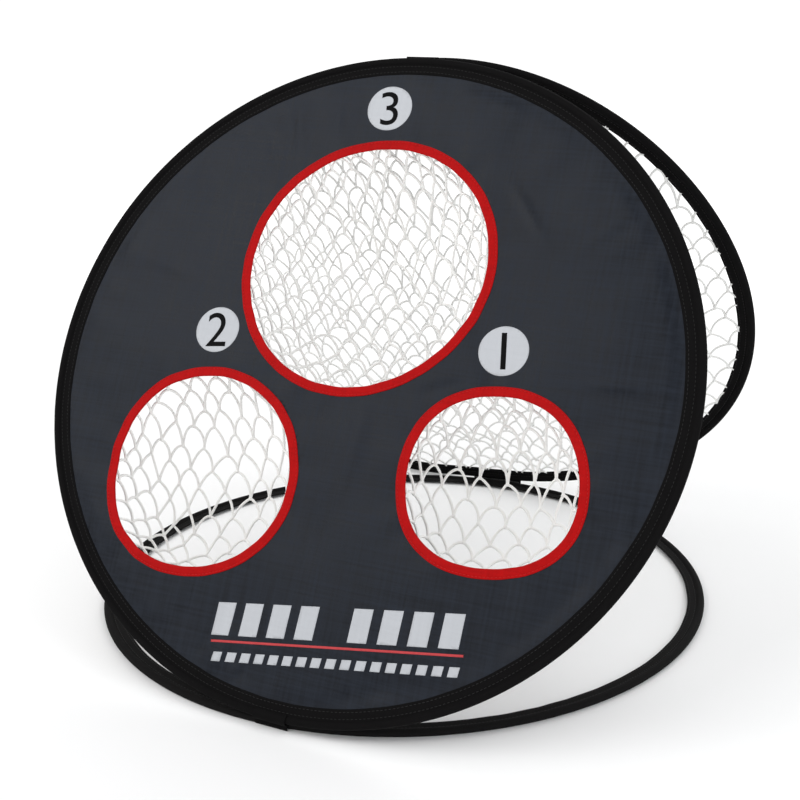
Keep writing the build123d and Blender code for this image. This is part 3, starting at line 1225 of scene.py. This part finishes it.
@dataclass
class RearNet:
    """The slack net that fills the rear hoop."""

    reach: float = 0.306
    rim: float = 0.2895
    sag: float = 0.024
    seed: int = 31

    def drape(self, x: float, y: float) -> Vector:
        """Place a flat point of the net in the rear hoop's layout."""
        away, bearing = hypot(x, y), atan2(y, x)
        share = min(1.0, away / self.reach)
        width = self.rim * share * (0.94 + 0.06 * share)
        spot = Vector((width * cos(bearing), width * sin(bearing), 0.0))
        free = 1 - share * share
        slack = noise.noise(Vector((x, y, 2.2)) / 0.075) * 0.010 + noise.noise(Vector((x, y, 6.2)) / 0.03) * 0.004
        pull = noise.noise_vector(Vector((x, y, 9.0)) / 0.08) * 0.007 * min(1.0, free * 2)
        return Vector((spot.x + pull.x, spot.y + pull.y - 0.012 * free, self.sag * free + slack * min(1.0, free * 2)))

    def build(self) -> None:
        """Tie and hang the net."""
        net = TwineNet("rear_twine_net", self.reach, self.drape, Body.REAR, REAR_SHAPE, "rear_net", self.seed).build()
        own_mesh(net)


# ---------------------------------------------------------------- ties and closure


@dataclass
class Fastenings:
    """The fabric ties and the hook-and-loop closure, carried over from the frame."""

    def build(self) -> None:
        """Dress the ties and the closure."""
        dress_node("front_hinge_tie", SLEEVE_CLOTH)
        dress_node("apex_tie", SLEEVE_CLOTH)
        # The closure flap takes the base sleeve's painted lighter copy of the black cloth.
        dress_node("closure_flap", LIT_BASE_SLEEVE_CLOTH)
        dress_node("closure_loop_strip", LOOP_TAPE)
        dress_node("closure_hook_strip", LOOP_TAPE)


# ---------------------------------------------------------------- studio


@dataclass
class Studio:
    """Pale floor, soft lights and the camera."""

    azimuth: float = radians(22.2)
    elevation: float = radians(17.31)
    roll: float = radians(1.28)
    distance: float = 1.147
    aim: tuple[float, float, float] = (-0.0151, 0.0, 0.1995)
    lens: float = 50.08
    fill: float = 0.82
    floor_radius: float = 14.0
    floor_white: float = 0.93

    def floor(self) -> None:
        """Lay the floor."""
        shape = bmesh.new()
        bmesh.ops.create_circle(shape, cap_ends=True, segments=96, radius=self.floor_radius)
        mesh = bpy.data.meshes.new("studio_floor")
        shape.to_mesh(mesh)
        shape.free()
        made = bpy.data.materials.new("pale_floor")
        made.use_nodes = True
        shader = made.node_tree.nodes["Principled BSDF"]
        shader.inputs["Roughness"].default_value = 0.9
        shader.inputs["Specular IOR Level"].default_value = 0.1
        sheet = NodeSheet(made.node_tree)
        place = sheet.add("ShaderNodeTexCoord")
        away = sheet.add("ShaderNodeVectorMath", operation="LENGTH")
        sheet.join(place.outputs["Object"], away.inputs[0])
        far = sheet.add("ShaderNodeMapRange", interpolation_type="SMOOTHSTEP")
        far.inputs["From Min"].default_value = 0.7
        far.inputs["From Max"].default_value = 2.2
        sheet.join(away.outputs["Value"], far.inputs["Value"])
        sheet.join(sheet.maths("MULTIPLY", far.outputs["Result"], 0.35), shader.inputs["Emission Strength"])
        shader.inputs["Emission Color"].default_value = (1.0, 1.0, 1.0, 1.0)
        shader.inputs["Base Color"].default_value = (self.floor_white, self.floor_white, self.floor_white, 1.0)
        mesh.materials.append(made)
        floor = bpy.data.objects.new("studio_floor", mesh)
        bpy.context.scene.collection.objects.link(floor)

    def light(self, name: str, place: Vector, size: Point, power: float, colour: Colour = (1.0, 1.0, 1.0)) -> None:
        """Hang one soft box that looks at the target.

        Args:
            name: the light's name.
            place: where it hangs.
            size: width and height.
            power: watts.
            colour: its tint.
        """
        lamp = bpy.data.lights.new(name, "AREA")
        lamp.shape = "RECTANGLE"
        lamp.size, lamp.size_y = size
        lamp.energy = power
        lamp.color = colour
        holder = bpy.data.objects.new(name, lamp)
        bpy.context.scene.collection.objects.link(holder)
        holder.location = place
        holder.rotation_mode = "QUATERNION"
        holder.rotation_quaternion = (Vector((0, 0, 0.25)) - place).to_track_quat("-Z", "Y")

    def camera(self) -> None:
        """Stand the camera."""
        view = bpy.data.cameras.new("studio_camera")
        view.lens = self.lens
        view.sensor_width = 36.0
        view.clip_start, view.clip_end = 0.05, 60.0
        holder = bpy.data.objects.new("studio_camera", view)
        bpy.context.scene.collection.objects.link(holder)
        back = Vector(
            (sin(self.azimuth) * cos(self.elevation), -cos(self.azimuth) * cos(self.elevation), sin(self.elevation))
        )
        holder.location = Vector(self.aim) + back * self.distance
        holder.rotation_mode = "QUATERNION"
        holder.rotation_quaternion = (-back).to_track_quat("-Z", "Y") @ Quaternion((0, 0, 1), self.roll)
        bpy.context.scene.camera = holder

    def surroundings(self) -> bpy.types.World:
        """White backdrop that lights the target less than it shows.

        Returns:
            The world.
        """
        world = bpy.data.worlds.new("studio_world")
        world.use_nodes = True
        sheet = NodeSheet(world.node_tree)
        seen = sheet.add("ShaderNodeLightPath").outputs["Is Camera Ray"]
        power = sheet.maths("ADD", sheet.maths("MULTIPLY", seen, 1.1 - self.fill), self.fill)
        sheet.join(power, world.node_tree.nodes["Background"].inputs["Strength"])
        world.node_tree.nodes["Background"].inputs["Color"].default_value = (1.0, 1.0, 1.0, 1.0)
        return world

    def build(self) -> None:
        """Set up the floor, lights, surroundings and camera."""
        self.camera()
        self.floor()
        self.light("key_soft_box", Vector((-1.3, -1.9, 2.3)), (1.8, 1.8), 34.0)
        self.light("right_soft_box", Vector((2.4, -0.6, 1.2)), (1.2, 1.8), 14.0, (0.90, 0.95, 1.0))
        self.light("back_soft_box", Vector((0.4, 2.6, 2.2)), (2.6, 1.6), 22.0)
        bpy.context.scene.world = self.surroundings()
        bpy.context.scene.view_settings.view_transform = "Standard"


def main() -> None:
    """Build the target and the studio round it."""
    logging.basicConfig(level=logging.INFO, format="%(relativeCreated)8.0f ms  %(message)s")
    plain_weave_group()
    fibre_group()
    Studio().build()
    # The base hoop's sleeve uses the painted lighter copy of the black cloth.
    Hoop("base", Body.BASE, BASE_SHAPE, LIT_BASE_SLEEVE_CLOTH, radians(150), pressed=True, seed=1.0).build()
    Hoop("front", Body.FRONT, FRONT_SHAPE, SLEEVE_CLOTH, radians(215), seed=2.0).build()
    Hoop("rear", Body.REAR, REAR_SHAPE, REAR_SLEEVE_CLOTH, radians(325), seed=3.0).build()
    Panel().build()
    Emblem().build()
    for index, target in enumerate(TARGETS):
        NumberDisc(target).build()
        Binding(target).build()
        Pocket(target, 11 + index).build()
    RearNet().build()
    Fastenings().build()


if __name__ == "__main__":
    main()
